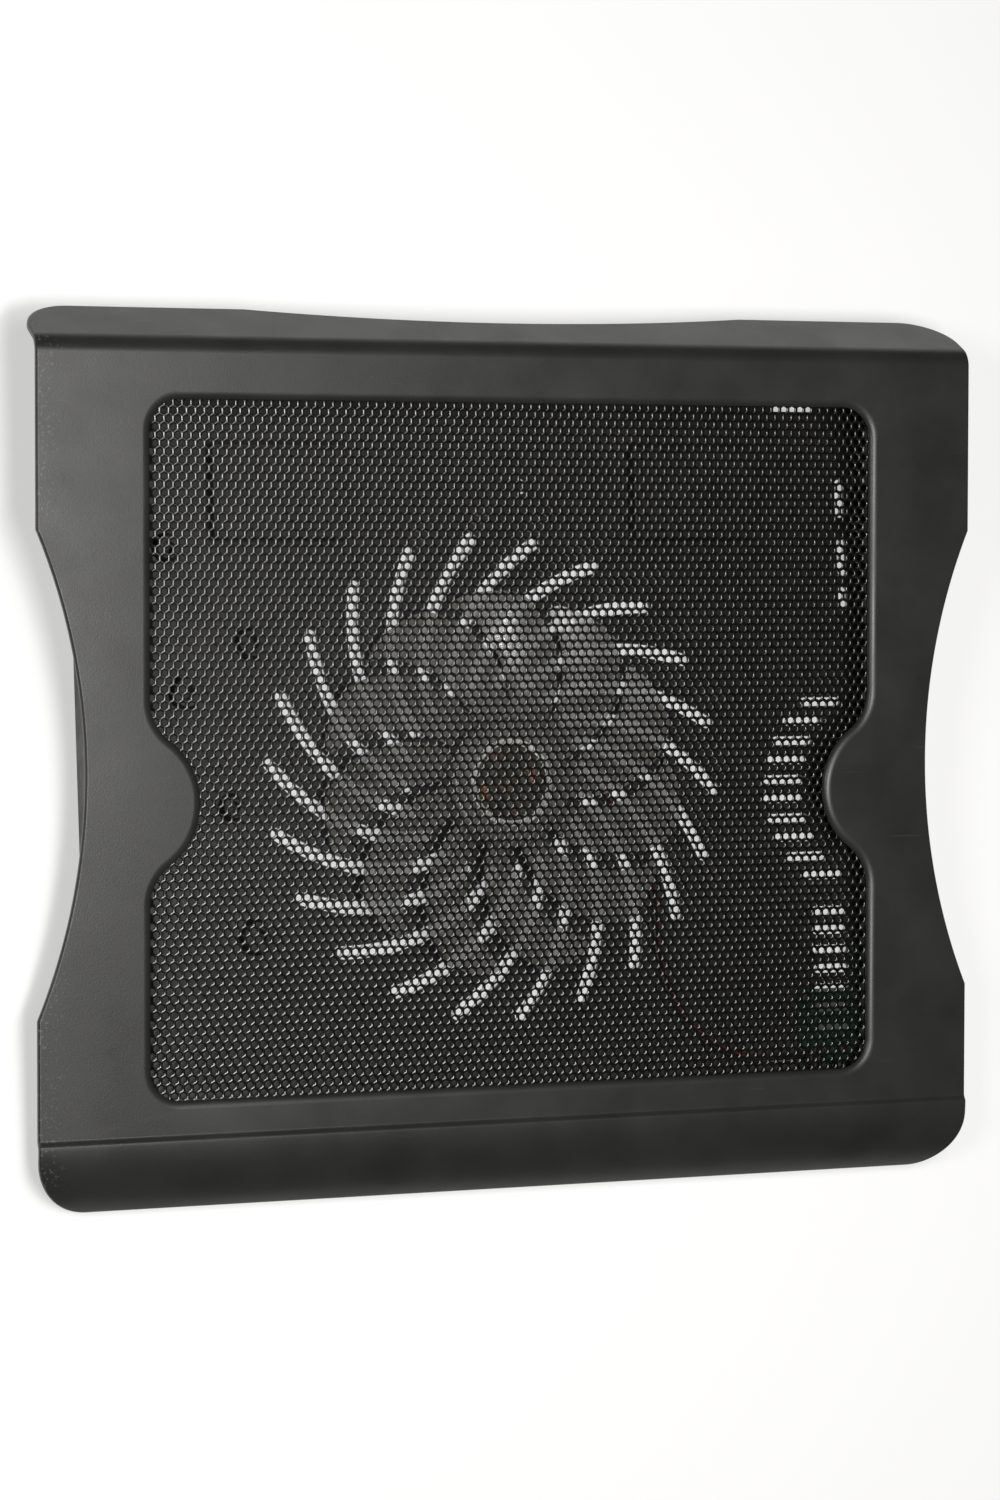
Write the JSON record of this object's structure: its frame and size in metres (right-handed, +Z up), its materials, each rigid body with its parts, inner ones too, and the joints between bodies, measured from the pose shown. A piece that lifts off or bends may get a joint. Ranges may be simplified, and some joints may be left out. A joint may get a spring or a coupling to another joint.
{
  "type": "laptop cooling pad",
  "caption": "Wedge-shaped laptop cooling pad: tilted top frame with a waist and a perforated steel panel, over a tray with a wide fan, swirl air slots and fold-out rear legs.",
  "frame": {"origin": "middle of the pad's outline seen from above, on the surface that it stands on", "axes": "+Z up, +Y to the rear, which is the high edge, +X to the right seen from the front"},
  "size_m": [0.3354, 0.2942, 0.0407],
  "materials": {
    "frame_plastic": "satin, fine moulded grain",
    "panel_steel": "black satin paint on perforated sheet steel",
    "tray_plastic": "matt, fine moulded grain",
    "black_plastic": "matt",
    "zinc_screw": "dark zinc plate",
    "rubber": "matt",
    "steel": "bright plated",
    "smoke_plastic": "smoky translucent gloss",
    "ferrite": "matt grey black",
    "bronze": "sintered",
    "white_plastic": "satin",
    "copper": "enamelled winding wire",
    "circuit_board": "green solder mask",
    "red_vinyl": "satin",
    "black_vinyl": "satin"
  },
  "bodies": {
    "base": {"top_frame": "frame_plastic", "mesh_panel": "panel_steel", "panel_clip_1": "black_plastic", "panel_clip_2": "black_plastic", "panel_clip_3": "black_plastic", "panel_clip_4": "black_plastic", "panel_clip_5": "black_plastic", "panel_clip_6": "black_plastic", "panel_clip_7": "black_plastic", "panel_clip_8": "black_plastic", "base_tray": "tray_plastic", "case_screw_1": "zinc_screw", "case_screw_2": "zinc_screw", "case_screw_3": "zinc_screw", "case_screw_4": "zinc_screw", "case_screw_5": "zinc_screw", "case_screw_6": "zinc_screw", "case_screw_7": "zinc_screw", "case_screw_8": "zinc_screw", "rubber_foot_1": "rubber", "rubber_foot_2": "rubber", "rubber_foot_3": "rubber", "rubber_foot_4": "rubber", "leg_pin_left": "steel", "leg_pin_right": "steel", "bearing_sleeve": "bronze", "thrust_pad": "white_plastic", "stator_core": "steel", "coil_1": "copper", "coil_2": "copper", "coil_3": "copper", "coil_4": "copper", "motor_board": "circuit_board", "lead_red": "red_vinyl", "lead_black": "black_vinyl", "control_board": "circuit_board", "usb_shell_1": "steel", "usb_tongue_1": "white_plastic", "usb_shell_2": "steel", "usb_tongue_2": "white_plastic", "switch_body": "black_plastic", "lead_connector": "black_plastic", "capacitor": "black_plastic"},
    "fan": {"fan_rotor": "smoke_plastic", "rotor_yoke": "steel", "ring_magnet": "ferrite", "fan_shaft": "steel", "shaft_clip": "steel"},
    "leg_left": {"tilt_leg_left": "black_plastic", "leg_tip_left": "rubber"},
    "leg_right": {"tilt_leg_right": "black_plastic", "leg_tip_right": "rubber"},
    "switch": {"switch_knob": "black_plastic"}
  },
  "joints": [
    {"name": "fan_spin", "type": "hinge", "parent": "base", "child": "fan", "pos_m": [0, -0.01071, 0.0125], "axis": [0, 0, 1], "continuous": true},
    {"name": "leg_left_fold", "type": "hinge", "parent": "base", "child": "leg_left", "pos_m": [-0.076, 0.07789, 0.0062], "axis": [-1, 0, 0], "range_deg": [0, 100]},
    {"name": "leg_right_fold", "type": "hinge", "parent": "base", "child": "leg_right", "pos_m": [0.076, 0.07789, 0.0062], "axis": [-1, 0, 0], "range_deg": [0, 100]},
    {"name": "power_switch", "type": "slide", "parent": "base", "child": "switch", "axis": [0, -1, 0], "range_m": [0, 0.0024]}
  ]
}
